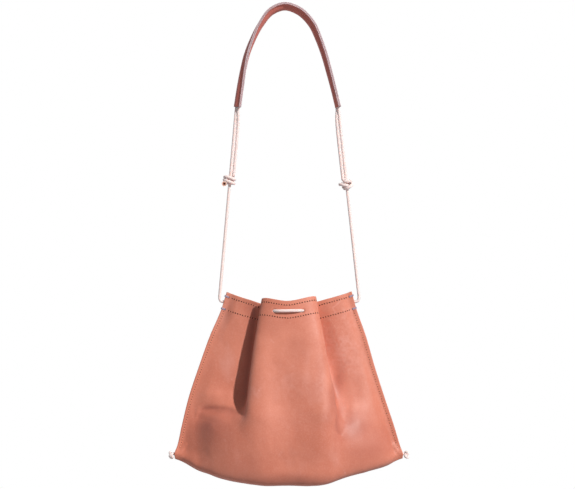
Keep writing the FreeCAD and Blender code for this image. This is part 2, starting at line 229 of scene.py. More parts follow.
def tube(name, path, radius, materials, step=0.8, taper=None, end=PLAIN_END):
    """Round cord along a line, with shallow ribs that wind round it both ways and a soft cut at each end."""
    gone = lengths_along(path)
    places = np.linspace(0, gone[-1], max(int(gone[-1] / step), 2) + 1)
    path = read_at(places, gone, path)
    ring = CORD_RING
    turn = np.linspace(0, 2 * math.pi, ring, endpoint=False)
    around = turn[None, :] * STRANDS / 2
    wound = places[:, None] * 2 * math.pi / RIB_TURN
    wide = radius + RIB_HEIGHT * (np.maximum(np.sin(around + wound), np.sin(around - wound)) - 0.6)
    if taper is not None:
        wide = wide * taper(places / places[-1])[:, None]
    points = list(ring_points(path, wide, turn))
    faces = ring_faces(len(path), ring)
    kinds = [0] * len(faces)
    for row, sign in ((0, -1), (len(path) - 1, 1)):
        ahead = unit(path[1] - path[0] if row == 0 else path[-1] - path[-2])
        rim = [row * ring + j for j in range(ring)]
        edge = [points[j] for j in rim]
        for share, proud, kind in end:
            inner = [len(points) + j for j in range(ring)] if share > 0 else [len(points)] * ring
            spots = [path[row] + (p - path[row]) * share + ahead * sign * proud for p in edge]
            points.extend(spots if share > 0 else spots[:1])
            for j in range(ring):
                k = (j + 1) % ring
                face = (rim[j], rim[k], inner[k], inner[j]) if share > 0 else (rim[j], rim[k], inner[0])
                faces.append(face if sign < 0 else face[::-1])
                kinds.append(kind)
            rim = inner
    return add_mesh(name, points, faces, materials, kinds)


# ------------------------------------------------------------------ materials


class Nodes:
    """Short way to build a material's node tree."""

    def __init__(self, name):
        self.material = bpy.data.materials.new(name)
        self.material.use_nodes = True
        self.tree = self.material.node_tree
        self.tree.nodes.clear()
        self.output = self.tree.nodes.new("ShaderNodeOutputMaterial")
        self.shader = self.tree.nodes.new("ShaderNodeBsdfPrincipled")
        self.link(self.shader.outputs[0], self.output.inputs[0])

    def link(self, a, b):
        self.tree.links.new(a, b)

    def feed(self, socket, value):
        if isinstance(value, bpy.types.NodeSocket):
            self.link(value, socket)
        else:
            socket.default_value = value

    def set(self, **values):
        for name, value in values.items():
            self.feed(self.shader.inputs[name.replace("_", " ")], value)

    def node(self, kind, **inputs):
        made = self.tree.nodes.new(kind)
        for name, value in inputs.items():
            self.feed(made.inputs[name.replace("_", " ")], value)
        return made

    def place(self):
        return self.node("ShaderNodeTexCoord").outputs["Object"]

    def stretched(self, scale):
        mapping = self.node("ShaderNodeMapping", Vector=self.place(), Scale=scale)
        return mapping.outputs[0]

    def noise(self, scale, detail, roughness, vector=None):
        made = self.node("ShaderNodeTexNoise", Vector=vector or self.place(), Scale=scale, Detail=detail,
                         Roughness=roughness)
        return made.outputs["Fac"]

    def cells(self, scale):
        return self.node("ShaderNodeTexVoronoi", Vector=self.place(), Scale=scale).outputs["Distance"]

    def mark(self, name):
        made = self.tree.nodes.new("ShaderNodeAttribute")
        made.attribute_name = name
        return made.outputs["Fac"]

    def spread(self, value, low, high, to_low=0.0, to_high=1.0):
        made = self.node("ShaderNodeMapRange", Value=value)
        made.inputs["From Min"].default_value = low
        made.inputs["From Max"].default_value = high
        made.inputs["To Min"].default_value = to_low
        made.inputs["To Max"].default_value = to_high
        return made.outputs[0]

    def times(self, a, b):
        made = self.tree.nodes.new("ShaderNodeMath")
        made.operation = "MULTIPLY"
        self.feed(made.inputs[0], a)
        self.feed(made.inputs[1], b)
        return made.outputs[0]

    def mix(self, share, a, b):
        made = self.tree.nodes.new("ShaderNodeMix")
        made.data_type = "RGBA"
        self.feed(made.inputs[0], share)
        self.feed(made.inputs[6], a)
        self.feed(made.inputs[7], b)
        return made.outputs[2]

    def bump(self, height, distance, strength=1.0, normal=None):
        made = self.node("ShaderNodeBump", Height=height, Distance=distance, Strength=strength)
        if normal is not None:
            self.link(normal, made.inputs["Normal"])
        return made.outputs[0]


def colour(red, green, blue):
    """Screen colour, 0 to 255, as a linear one."""
    def linear(c):
        c = c / 255
        return c / 12.92 if c <= 0.04045 else ((c + 0.055) / 1.055) ** 2.4
    return (linear(red), linear(green), linear(blue), 1.0)


def leather(name, base, dark, pale, deep, grain=1.0):
    """Smooth vegetable-tanned leather: cloudy colour, fine pores, pale where scuffed and where a highlight is
    painted on, deep where painted shade lies.
    """
    m = Nodes(name)
    clouds = m.spread(m.noise(9, 4, 0.55), 0.35, 0.68)
    mottle = m.spread(m.noise(55, 5, 0.6), 0.45, 0.75)
    fibres = m.spread(m.noise(420, 2, 0.6), 0.45, 0.75)
    bloom = m.spread(m.noise(16, 3, 0.6, m.stretched((1.0, 1.0, 0.45))), 0.56, 0.78)
    # Pale scuffs: partly real wear, partly painted highlight. The shade mark lays painted shade in the deep
    # tone.
    worn_and_lit = m.times(m.mark("wear_and_highlight"), m.spread(m.noise(170, 4, 0.7), 0.30, 0.62, 0.35, 1.0))
    layers = [(clouds, 0.6, dark), (mottle, 0.30, dark), (fibres, 0.14, pale), (bloom, 0.30, pale),
              (worn_and_lit, 0.55, pale), (m.mark("shade"), 0.9, deep)]
    tone = base
    for layer, strength, other in layers:
        tone = m.mix(m.times(layer, strength), tone, other)
    m.set(Base_Color=tone, Roughness=m.spread(m.noise(38, 3, 0.6), 0.3, 0.7, 0.47, 0.60))
    m.set(Specular_IOR_Level=0.42, Coat_Weight=0.04, Coat_Roughness=0.35)
    m.set(Sheen_Weight=0.06, Sheen_Roughness=0.5)
    creases = m.noise(90, 5, 0.6, m.stretched((1.0, 1.0, 0.6)))
    relief = m.bump(m.spread(m.cells(1150), 0.0, 0.5), 0.00010 * grain, 0.35)
    relief = m.bump(m.noise(600, 3, 0.6), 0.00012 * grain, 0.40, relief)
    m.set(Normal=m.bump(creases, 0.0010, 0.10, relief))
    return m.material


def plain(name, base, other, roughness, scale, relief=0.0002, sheen=0.0, glow=0.0):
    """Matt fibre or cut leather: two close tones and a little relief."""
    m = Nodes(name)
    share = m.spread(m.noise(scale, 4, 0.65), 0.35, 0.65)
    m.set(Base_Color=m.mix(share, base, other), Roughness=roughness)
    m.set(Specular_IOR_Level=0.25, Sheen_Weight=sheen, Sheen_Roughness=0.6)
    if glow:
        m.set(Subsurface_Weight=glow, Subsurface_Radius=(1.0, 0.75, 0.65), Subsurface_Scale=0.006)
    m.set(Normal=m.bump(m.noise(scale * 2, 3, 0.6), relief, 0.5))
    return m.material


# The last tone of each leather is the colour of its painted shade.
LEATHER = leather("bag_leather", colour(212, 131, 107), colour(188, 104, 80), colour(232, 178, 168),
                  colour(150, 80, 68))
STRAP_LEATHER = leather("strap_leather", colour(206, 114, 98), colour(170, 90, 86), colour(214, 150, 134),
                        colour(110, 60, 56), 0.8)
RAW_EDGE = plain("raw_leather_edge", colour(204, 150, 132), colour(180, 118, 98), 0.8, 900)
STRAP_EDGE = plain("raw_strap_edge", colour(196, 174, 178), colour(186, 162, 166), 0.85, 200, 0.00002)
SUEDE = plain("suede_side", colour(196, 132, 104), colour(166, 104, 78), 0.95, 400, 0.0004, 0.25)
LINING_LEATHER = plain("lining_leather", colour(198, 136, 108), colour(172, 110, 84), 0.9, 300, 0.0003, 0.2)
CORD_COTTON = plain("cord_cotton", colour(240, 220, 216), colour(234, 212, 208), 0.85, 700, 0.00002, 0.2, 0.3)
CORD_CORE = plain("cord_core", colour(214, 160, 134), colour(176, 120, 100), 0.95, 1500)
THREAD_TAN = plain("thread_tan", colour(236, 168, 136), colour(222, 150, 120), 0.6, 1500)
THREAD_GREY = plain("thread_grey", colour(190, 178, 196), colour(150, 136, 158), 0.6, 1500)
# Painted shade inside awl holes and inside an open cord end.
HOLE_SHADE = plain("awl_hole", colour(72, 34, 30), colour(52, 24, 24), 0.9, 1500)

# ------------------------------------------------------------------ the strap's route

SLEEVE_ARCH = np.array([
    (-75.0, -155.0), (-70.3, -124.0), (-66.0, -99.0), (-60.3, -73.0), (-50.8, -47.5), (-38.0, -22.5),
    (-20.5, -1.5), (0.0, 6.2), (23.0, -1.0), (43.0, -20.5), (56.0, -47.5), (65.0, -73.0),
    (72.3, -99.0), (79.0, -124.0), (86.5, -155.0),
])
SLEEVE_LEAN = np.array([-26, -24, -18, -10, 0, 12, 22, 27, 27, 24, 20, 17, 15, 13, 12.0])
SLEEVE_OUTSIDE = [(0, -8.6), (3.1, -7.3), (4.4, -4.2), (4.4, 0.9), (3.2, 3.8), (1.95, 6.4), (1.95, 10.0)]
SLEEVE_INSIDE = [(0.15, 10.0), (0.15, 6.2), (1.4, 3.6), (2.6, 0.9), (2.6, -4.2), (1.8, -6.1), (0, -6.8)]
BACK_CORD = -4.2
FRONT_CORD = 0.9
FRONT = np.array([0.0, -1.0, 0.0])
LEFT_TOP, LEFT_CORNER = (-78.0, -172.0), (-103.9, SWING_Z)
RIGHT_TOP, RIGHT_CORNER = (88.0, -172.0), (119.9, SWING_Z)
LEFT_ENTRY_X, RIGHT_ENTRY_X = -98.0, 114.0
LEFT_KNOT_Z, RIGHT_KNOT_Z = -272.0, -279.0
STRAND_SPACING = 5.1


def arch_frames(at):
    """Points of the arch, and the sleeve section's two axes there."""
    points = np.zeros((len(SLEEVE_ARCH), 3))
    points[:, [0, 2]] = SLEEVE_ARCH
    middle = along(points, at)
    step = 0.01
    last = len(points) - 1
    tangent = unit(along(points, np.minimum(at + step, last)) - along(points, np.maximum(at - step, 0)))
    outward = np.stack([-tangent[:, 2], np.zeros(len(at)), tangent[:, 0]], axis=1)
    lean = np.radians(np.interp(at, np.arange(len(SLEEVE_LEAN)), SLEEVE_LEAN))[:, None]
    across = outward * np.cos(lean) - FRONT * np.sin(lean)
    to_edges = FRONT * np.cos(lean) + outward * np.sin(lean)
    return middle, across, to_edges


def through_sleeve(place):
    """A cord's route points inside the sleeve, from its left mouth to its right one."""
    middle, _, to_edges = arch_frames(np.arange(len(SLEEVE_ARCH), dtype=float))
    return [tuple(p) for p in middle + to_edges * place]


def at_height(top, corner, z):
    """Point of a strap cord's straight stretch."""
    share = (z - top[1]) / (corner[1] - top[1])
    return np.array([top[0] + (corner[0] - top[0]) * share, 0.0, z])


KNOT_HEIGHT = 14.6
STRAND_BOW = 0.4          # how far a return strand stands off at its middle
STRAIGHT_END = 12         # a strap cord runs straight down to this far above the swing axis
ENTRY_BEND = [(0.1, 4.0), (1.6, -1.6), (6.0, -3.0), (11.4, -3.0)]   # a strap cord's last points: inward, up


def strap_cord(side, sleeve_route, top, corner, entry):
    """One cord from its far sleeve mouth, through the sleeve, down to where it enters the bag."""
    inward = 1 if entry > corner[0] else -1
    route = sleeve_route + [(top[0], 0, top[1]), tuple(at_height(top, corner, SWING_Z + STRAIGHT_END))]
    route += [(corner[0] + inward * across, 0, SWING_Z + up) for across, up in ENTRY_BEND]
    path = spline_path(f"{side}_route", route)
    cord = tube(f"{side}_strap_cord_woven", path, CORD / 2, [CORD_COTTON])
    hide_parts(f"{side}_strap_cord")
    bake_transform(cord)


strap_cord("left", through_sleeve(BACK_CORD)[::-1], LEFT_TOP, LEFT_CORNER, LEFT_ENTRY_X)
strap_cord("right", through_sleeve(FRONT_CORD), RIGHT_TOP, RIGHT_CORNER, RIGHT_ENTRY_X)


def return_strand(side, inside, mouth, top, corner, inward, knot_z):
    """Second strand beside the standing cord, from the sleeve down to the top of its knot."""
    beside = np.array([inward * STRAND_SPACING, 0, 0])
    upper = at_height(top, corner, top[1]) + beside
    middle = at_height(top, corner, (top[1] + knot_z) / 2) + beside + np.array([inward * STRAND_BOW, 0, 0])
    end = at_height(top, corner, knot_z + KNOT_HEIGHT / 2) + beside
    path = spline_path(f"{side}_return", [inside, mouth, tuple(upper), tuple(middle), tuple(end)])
    cord = tube(f"{side}_return_strand_woven", path, CORD / 2, [CORD_COTTON])
    stand_for(cord, "cord", "strap", f"{side}_return_strand")
    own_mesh(cord)


# Routes of the knots, from where the return strand comes in at the top: to the right, to the front, up.
LEFT_TURNS = [
    (5.1, 0, 9.5), (5.0, -2.6, 6.6), (0.5, -6.2, 5.4), (-7.0, -4.4, 5.2), (-10.4, 1.0, 4.6), (-6.0, 6.2, 5.4),
    (0.0, 7.0, 4.4), (5.6, 5.6, 2.8), (8.2, 0.4, 1.6), (5.0, -5.4, 0.6), (-1.5, -6.8, 0.2), (-8.0, -4.4, 0.0),
    (-10.6, 1.0, -0.4), (-6.4, 6.4, -1.2), (0.0, 7.2, -3.0), (5.4, 5.8, -4.4), (8.0, 0.2, -4.8),
    (4.6, -5.2, -4.6), (-2.4, -6.4, -4.6), (-7.6, -3.6, -5.0), (-9.0, 1.0, -5.8),
]
LEFT_TAIL = [(-7.6, -3.6, -5.0), (-9.2, 1.5, -6.0), (-9.2, 6.0, -6.8), (-8.8, 10.0, -7.1)]
RIGHT_TURNS = [
    (-5.1, 0, 9.5), (-4.6, 3.2, 6.4), (0.5, 6.4, 5.0), (6.0, 5.0, 5.6), (8.0, 0.2, 4.8), (5.0, -5.2, 3.2),
    (-2.0, -6.6, 2.2), (-8.6, -4.4, 1.8), (-12.2, 0.6, 1.6), (-8.8, 5.6, 0.8), (-2.4, 7.2, -0.8),
    (2.6, 5.2, -2.8), (4.4, 0.0, -4.8), (0.6, -5.0, -5.8), (-5.2, -2.4, -6.2), (-2.6, 4.6, -6.6),
    (3.4, 7.0, -5.0), (8.2, 4.2, -2.0), (9.4, -1.6, -0.6), (5.2, -6.6, -0.8), (-1.0, -8.2, -1.8),
]
RIGHT_TAIL = [(5.2, -6.6, -0.8), (-1.0, -8.2, -2.0), (-4.6, -8.8, -3.4), (-7.2, -8.4, -4.6)]

KNOT_SNUG = 0.94          # how far the knots are drawn in from those routes
KNOT_CORD = 1.04          # thickness of the cord in a knot, and at its cut end, as shares of the cord's own
TAIL_CORD = 0.97


def knot_place(centre, down, spot):
    """Point of a knot from how far it is to the right, to the front and up along the knot's cord."""
    right = np.array([-down[2], 0.0, down[0]])
    return tuple(centre + right * spot[0] * KNOT_SNUG + FRONT * spot[1] - down * spot[2] * KNOT_SNUG)


def frayed(share):
    """A cut end opens out like a small trumpet."""
    return 1 + 0.95 * np.clip((share - 0.50) / 0.50, 0, 1) ** 2


def sliding_knot(side, top, corner, knot_z, turns, tail, opening):
    """The end of one cord, knotted loosely round the other, and the cut end that sticks out."""
    down = unit(np.array([corner[0] - top[0], 0.0, corner[1] - top[1]]))
    centre = at_height(top, corner, knot_z)
    path = spline_path(f"{side}_knot_route", [knot_place(centre, down, spot) for spot in turns])
    knot = tube(f"{side}_sliding_knot_turns", path, CORD / 2 * KNOT_CORD, [CORD_COTTON], step=0.6)
    stand_for(knot, "cord", f"{side}_knot", f"{side}_sliding_knot")
    path = spline_path(f"{side}_tail_route", [knot_place(centre, down, spot) for spot in tail])
    cut = tube(f"{side}_knot_tail_cut", path, CORD / 2 * TAIL_CORD, [CORD_COTTON, CORD_CORE, HOLE_SHADE],
               step=0.5, taper=opening, end=OPEN_END)
    stand_for(cut, "cord", f"{side}_knot", f"{side}_knot_tail")


return_strand("left", *through_sleeve(FRONT_CORD)[1::-1], LEFT_TOP, LEFT_CORNER, 1, LEFT_KNOT_Z)
return_strand("right", *through_sleeve(BACK_CORD)[-2:], RIGHT_TOP, RIGHT_CORNER, -1, RIGHT_KNOT_Z)
sliding_knot("left", LEFT_TOP, LEFT_CORNER, LEFT_KNOT_Z, LEFT_TURNS, LEFT_TAIL, frayed)
sliding_knot("right", RIGHT_TOP, RIGHT_CORNER, RIGHT_KNOT_Z, RIGHT_TURNS, RIGHT_TAIL, None)

# ------------------------------------------------------------------ strap sleeve

SLEEVE_RIM = [(1.75, 10.25), (1.05, 10.36), (0.38, 10.25)]   # cut edge, across the leather's thickness
SLEEVE_RINGS = 260
LOOSE_EDGE = 6            # the section beyond this belongs to the edges, which ripple


def smooth_outline(points, per_span):
    """Rounded open line through section points."""
    return along(points, np.linspace(0, len(points) - 1, per_span * (len(points) - 1) + 1))


def mouth_loops(outside, rim, inside):
    """Loops of section places that close half of a sleeve mouth across the leather's thickness."""
    last = outside + rim + inside - 1
    loops = []
    for j in range(outside - 1):
        near = last - int((j + 1) * (inside - 1) / (outside - 1))
        far = last - int(j * (inside - 1) / (outside - 1))
        loops.append([j, j + 1, near] if near == far else [j, j + 1, near, far])
    return loops + [list(range(outside - 1, outside + rim + 1))]


def strap_sleeve():
    """Folded strip: a bulging fold at the back, two pale cut edges in front."""
    outside, inside = smooth_outline(SLEEVE_OUTSIDE, 4), smooth_outline(SLEEVE_INSIDE, 3)
    half = np.concatenate([outside, SLEEVE_RIM, inside])
    section = np.concatenate([half, half[-2:0:-1] * np.array([-1, 1])])
    kinds = [0] * (len(outside) - 1) + [1] * (len(SLEEVE_RIM) + 1) + [2] * (len(inside) - 1)
    kinds = kinds + kinds[::-1]
    rings = np.linspace(0, len(SLEEVE_ARCH) - 1, SLEEVE_RINGS)
    middle, across, to_edges = arch_frames(rings)
    ripple = 0.16 * np.sin(rings * 2.3) + 0.08 * np.sin(rings * 4.1 + 1)
    shift = np.where(section[:, 1] > LOOSE_EDGE, 1.0, 0.0)[None, :] * ripple[:, None]
    points = (middle[:, None] + across[:, None] * section[None, :, :1]
              + to_edges[:, None] * (section[None, :, 1] + shift)[:, :, None])
    count, ring = points.shape[:2]
    faces = [(a, d, c, b) for a, b, c, d in ring_faces(count, ring)]
    face_kinds = kinds * (count - 1)
    for row, flip in ((0, False), (count - 1, True)):
        for loop in mouth_loops(len(outside), len(SLEEVE_RIM), len(inside)):
            for mirror in (False, True):
                places = [row * ring + ((ring - q) % ring if mirror else q) for q in loop]
                faces.append(tuple(places[::-1] if mirror != flip else places))
                face_kinds.append(1)
    sleeve = add_mesh("strap_sleeve_leather", points.reshape(-1, 3), faces,
                      [STRAP_LEATHER, STRAP_EDGE, SUEDE], face_kinds)
    stand_for(sleeve, "strap_leather", "strap", "strap_sleeve")


strap_sleeve()

# ------------------------------------------------------------------ the hide's shape

LEFT_SEAM = [
    (-92, -4.8, -451), (-100.5, -2.2, -478), (-118.5, -1.3, -520), (-136.5, -1.3, -570), (-153, -1.3, -620),
    (-164, -1.3, -665), (-171.5, -1.6, -698), (-175.5, -3.6, -709.5), (-174.5, 0, -717),
]
LEFT_OUTER = [
    (-74, -9.5, -457.2), (-80, -8.8, -484), (-95, -5, -521), (-109, -5.5, -570), (-123, -7.5, -618),
    (-143, -6, -665), (-143, -13, -702), (-139, -19, -729), (-138, 0, -735),
]
LEFT_MIDDLE = [
    (-54, -15, -463.3), (-59, -11, -489), (-68, -9.5, -522), (-78, -10, -570), (-89, -12.5, -620),
    (-109, -30, -656), (-110, -38, -704), (-107, -36, -738), (-107, 0, -744),
]
LEFT_TUCK = [
    (-33, -20, -469), (-35, -11, -494), (-41, -9.5, -523), (-49, -11, -570), (-59, -17, -617),
    (-70, -49, -653), (-77, -55, -702), (-75, -46, -745.5), (-75, 0, -751),
]
LEFT_FOLD = [
    (-35, -31, -461.5), (-39.5, -34, -487), (-45, -39, -521), (-51, -46, -570), (-55.5, -53, -618),
    (-58, -60, -653), (-50, -62, -705), (-45, -50, -749), (-45, 0, -754),
]
CENTRE = [
    (6, -45, -463.8), (6, -47, -489), (5, -50, -521), (5, -55, -570), (6, -60, -618),
    (8, -64, -658), (9, -64, -704), (9, -52, -750.5), (9, 0, -755.5),
]
RIGHT_FOLD = [
    (49.5, -31, -457.8), (54, -35, -484), (61, -41, -520), (70, -48, -570), (77, -54, -618),
    (77, -60, -655), (70, -62, -705), (68, -50, -748), (68, 0, -752.5),
]
RIGHT_TUCK = [
    (46, -14, -466.5), (50, -12, -492), (57, -12, -523), (68, -13, -570), (80, -22, -617),
    (89, -46, -662), (94, -51, -703), (94, -41, -740), (95, 0, -746),
]
RIGHT_MIDDLE = [
    (70, -13, -461), (75, -13, -487), (86, -12.5, -522), (99, -12.5, -570), (112, -17, -620),
    (124, -32, -665), (130, -38, -703), (130, -29, -731), (131, 0, -737),
]
RIGHT_OUTER = [
    (90, -10, -455.5), (96, -9.4, -482), (109, -7, -521), (124, -7.5, -570), (138, -10, -620),
    (151, -15, -665), (160, -20, -700), (162, -15, -722), (163, 0, -727.5),
]
RIGHT_SEAM = [
    (107.5, -4.8, -450), (115, -2.2, -477), (130, -1.3, -520), (144.5, -1.3, -570), (160.5, -1.3, -620),
    (175.5, -1.3, -665), (185.5, -1.6, -698), (189.5, -3.6, -709.5), (189, 0, -716),
]


def flat_line(seam, inward):
    return [(x + inward * SEAM_FLAT, y * 1.1, z - SEAM_FALL) for x, y, z in seam]


FOLD_LINES = np.array([
    LEFT_SEAM, flat_line(LEFT_SEAM, 1), LEFT_OUTER, LEFT_MIDDLE, LEFT_TUCK, LEFT_FOLD, CENTRE,
    RIGHT_FOLD, RIGHT_TUCK, RIGHT_MIDDLE, RIGHT_OUTER, flat_line(RIGHT_SEAM, -1), RIGHT_SEAM,
], float)
BACK_LINES = FOLD_LINES[:, -2::-1] * np.array([1, -1, 1])
LINES = np.concatenate([FOLD_LINES, BACK_LINES], axis=1)
ACROSS = len(LINES) - 1
DOWN = LINES.shape[1] - 1
BASE = DOWN / 2

# Where a cord runs between the two sides of the seam, out of the corner and in at the top (x, z).
LEFT_ROOM = [(-156, -695), (-166, -706.5), (-177, -710)]
RIGHT_ROOM = [(173, -696), (181, -706.5), (192, -710)]


def eased(share):
    """Smooth step between 0 and 1."""
    share = np.clip(share, 0, 1)
    return share ** 2 * (3 - 2 * share)


def smooth_noise(x, y, seed):
    """Soft random hills with a lattice of 1, from -1 to 1."""
    lattice = np.random.RandomState(seed).uniform(-1, 1, (64, 64))
    i, j = np.floor(x).astype(int), np.floor(y).astype(int)
    u, v = eased(x - i), eased(y - j)
    a, b = lattice[i % 64, j % 64], lattice[(i + 1) % 64, j % 64]
    c, d = lattice[i % 64, (j + 1) % 64], lattice[(i + 1) % 64, (j + 1) % 64]
    return (a * (1 - u) + b * u) * (1 - v) + (c * (1 - u) + d * u) * v


def bump_at(x, z, centre, size, lean=0.0):
    """Smooth hill of height 1 on the face, longer along one direction."""
    dx, dz = x - centre[0], z - centre[1]
    turn = math.radians(lean)
    a = dx * math.cos(turn) + dz * math.sin(turn)
    b = -dx * math.sin(turn) + dz * math.cos(turn)
    return np.exp(-(a / size[0]) ** 2 - (b / size[1]) ** 2)


def to_segment(x, z, start, end):
    """Share of the way along a segment to its nearest point, and the distance to that point."""
    dx, dz = end[0] - start[0], end[1] - start[1]
    share = np.clip(((x - start[0]) * dx + (z - start[1]) * dz) / (dx * dx + dz * dz), 0, 1)
    return share, np.hypot(x - start[0] - share * dx, z - start[1] - share * dz)


def fold_beside(x, z, line, width):
    """Share from 0 to 1: rises sharply just right of a line of points and dies away over a width."""
    nearest = np.full(x.shape, np.inf)
    right_of, place = np.zeros(x.shape), np.zeros(x.shape)
    for k, (start, end) in enumerate(zip(line, line[1:])):
        share, away = to_segment(x, z, start, end)
        turn = np.sign((x - start[0]) * (end[1] - start[1]) - (z - start[1]) * (end[0] - start[0]))
        nearer = away < nearest
        nearest = np.where(nearer, away, nearest)
        right_of = np.where(nearer, turn * away, right_of)
        place = np.where(nearer, (k + share) / (len(line) - 1), place)
    ends = eased(np.minimum(place, 1 - place) / CREASE_FADE)
    return eased(right_of / CREASE_RISE) * ends * np.exp(-(np.maximum(right_of, 0) / width) ** 2)


# Creases in the front, with the leather falling away to the right of each line and painted shade laid beside
# it:
# line, width, fall, painted shade. The last one is the deep pleat, which only gets painted shadow cast by the
# fold.
CREASE_RISE = 7.0
CREASE_FADE = 0.22
CREASES = [
    ([(-143, -664), (-143.5, -655), (-142.5, -646), (-139, -637), (-132, -632), (-118, -630), (-100, -629),
      (-84, -631), (-72, -637), (-62, -645)], 26, 2.4, 0.5),
    ([(92, -684), (86, -680.5), (80.6, -675), (76.8, -668), (75.7, -661), (77, -650), (79.5, -641),
      (79.5, -630), (77, -612)], 20, 1.4, 0.6),
    ([(-39, -452), (-41, -470), (-43.5, -500), (-47, -530), (-50.5, -560), (-54, -590), (-57, -620),
      (-60, -650)], 13, 0.0, 0.75),
]

# Dents and swells of the front and of the back, pushed along the leather's normal: place (x, z), size,
# lean, depth.
FRONT_SWELLS = [
    ((-104, -616), (38, 9), -3, 1.2),
    ((-112, -638), (34, 8), -5, -3.0),
    ((-144, -646), (5, 13), 6, -2.0),
    ((-150, -618), (12, 26), 10, 0.8),
    ((20, -590), (36, 30), 0, 2.0),
    ((-18, -560), (14, 46), 0, -1.2),
    ((60, -640), (10, 34), -8, 1.6),
    ((94, -650), (12, 8), -32, -1.5),
    ((10, -735), (60, 8), 0, 1.0),
]
BACK_SWELLS = [
    ((-100, -640), (30, 12), 14, 2.5),
    ((108, -632), (30, 11), -16, -2.5),
    ((10, -600), (40, 34), 0, 2.5),
    ((-60, -690), (40, 16), 8, -2.0),
]


def hide_middle(across, down):
    """Middle surface of the leather on a grid of places."""
    lines = np.stack([along(line, down) for line in LINES])
    return along(lines, across)


def hide_normals(points):
    """Unit normals of a grid of points, into the bag."""
    return unit(np.cross(np.gradient(points, axis=0), np.gradient(points, axis=1)))


CORD_ROOM = CORD / 2 + HIDE / 2 + 0.2
CORD_ROOM_SPREAD = 5.0


def make_room(points, down):
    """Push front and back apart where a cord runs between them."""
    x, z = points[..., 0], points[..., 2]
    near = np.full(x.shape, np.inf)
    for route in (LEFT_ROOM, RIGHT_ROOM):
        for start, end in zip(route, route[1:]):
            near = np.minimum(near, to_segment(x, z, start, end)[1])
    room = CORD_ROOM * np.exp(-(near / CORD_ROOM_SPREAD) ** 2)
    face = np.where(down < BASE, -1.0, 1.0)[None, :]
    apart = np.maximum(points[..., 1] * face, 0)
    points[..., 1] = face * (apart ** 4 + room ** 4) ** 0.25 * (down != BASE)[None, :]
    return points


ROUGH_HEIGHT = 1.1
FINE_HEIGHT = 0.18
BACK_DROP = 3.5           # the back's top edge hangs this much lower at its middle
BACK_DROP_HALF = 95       # half width of that dip


def unevenness(x, z, front):
    """Soft hills all over the leather, with others on the back."""
    rough = np.where(front, smooth_noise(x / 34 + 9, z / 46 + 40, 3),
                     smooth_noise(x / 31 + 5, z / 40 + 33, 8))
    fine = np.where(front, smooth_noise(x / 9 + 9, z / 13 + 60, 5),
                    smooth_noise(x / 9 + 3, z / 12 + 70, 6))
    return rough * ROUGH_HEIGHT + fine * FINE_HEIGHT


def hide_surface(across, down):
    """Leather's middle with its dents, and its normals into the bag."""
    points = hide_middle(across, down)
    normals = hide_normals(points)
    x, z = points[..., 0], points[..., 2]
    front = (down < BASE)[None, :]
    push = unevenness(x, z, front)
    for line, width, fall, _ in CREASES:
        push -= fold_beside(x, z, line, width) * fall * front
    for swells, here in ((FRONT_SWELLS, front), (BACK_SWELLS, ~front)):
        for centre, size, lean, depth in swells:
            push += bump_at(x, z, centre, size, lean) * depth * here
    free = np.clip(np.minimum(across, ACROSS - across) - 1, 0, 1)[:, None]
    low = np.clip(down - 1, 0, 1) * np.clip(DOWN - 1 - down, 0, 1)
    points = points - normals * (push * free * low[None, :])[..., None]
    back_top = np.clip(down - (DOWN - 2), 0, 2) / 2
    dip = np.clip(1 - np.abs(x - 8) / BACK_DROP_HALF, 0, 1) ** 0.5
    points[..., 2] -= BACK_DROP * (back_top ** 2)[None, :] * dip
    points = make_room(points, down)
    return points, hide_normals(points)


def top_band(columns, depth, rows, back=False):
    """Leather near the top edge, row by row from the edge down, on the front or on the back."""
    down = np.linspace(0, depth, rows)
    if not back:
        return hide_surface(columns, down)
    points, normals = hide_surface(columns, DOWN - down[::-1])
    return points[:, ::-1], normals[:, ::-1]


def below_edge(points, distance):
    """For each column of a grid that starts at the top edge, the fractional row that lies this far down."""
    gaps = np.linalg.norm(np.diff(points, axis=1), axis=-1)
    gone = np.concatenate([np.zeros((len(points), 1)), np.cumsum(gaps, axis=1)], axis=1)
    return np.array([np.interp(distance, g, np.arange(len(g))) for g in gone])


def between(counts):
    """Fractional places with a given number of steps in each interval."""
    places = [i + j / n for i, n in enumerate(counts) for j in range(n)]
    return np.array(places + [len(counts)], float)


ACROSS_AT = between([5, 15, 14, 17, 24, 30, 30, 24, 17, 14, 15, 5])
DOWN_STEPS = [20, 26, 28, 28, 26, 22, 12, 16]
DOWN_AT = between(DOWN_STEPS + DOWN_STEPS[::-1])
SURFACE, NORMALS = hide_surface(ACROSS_AT, DOWN_AT)


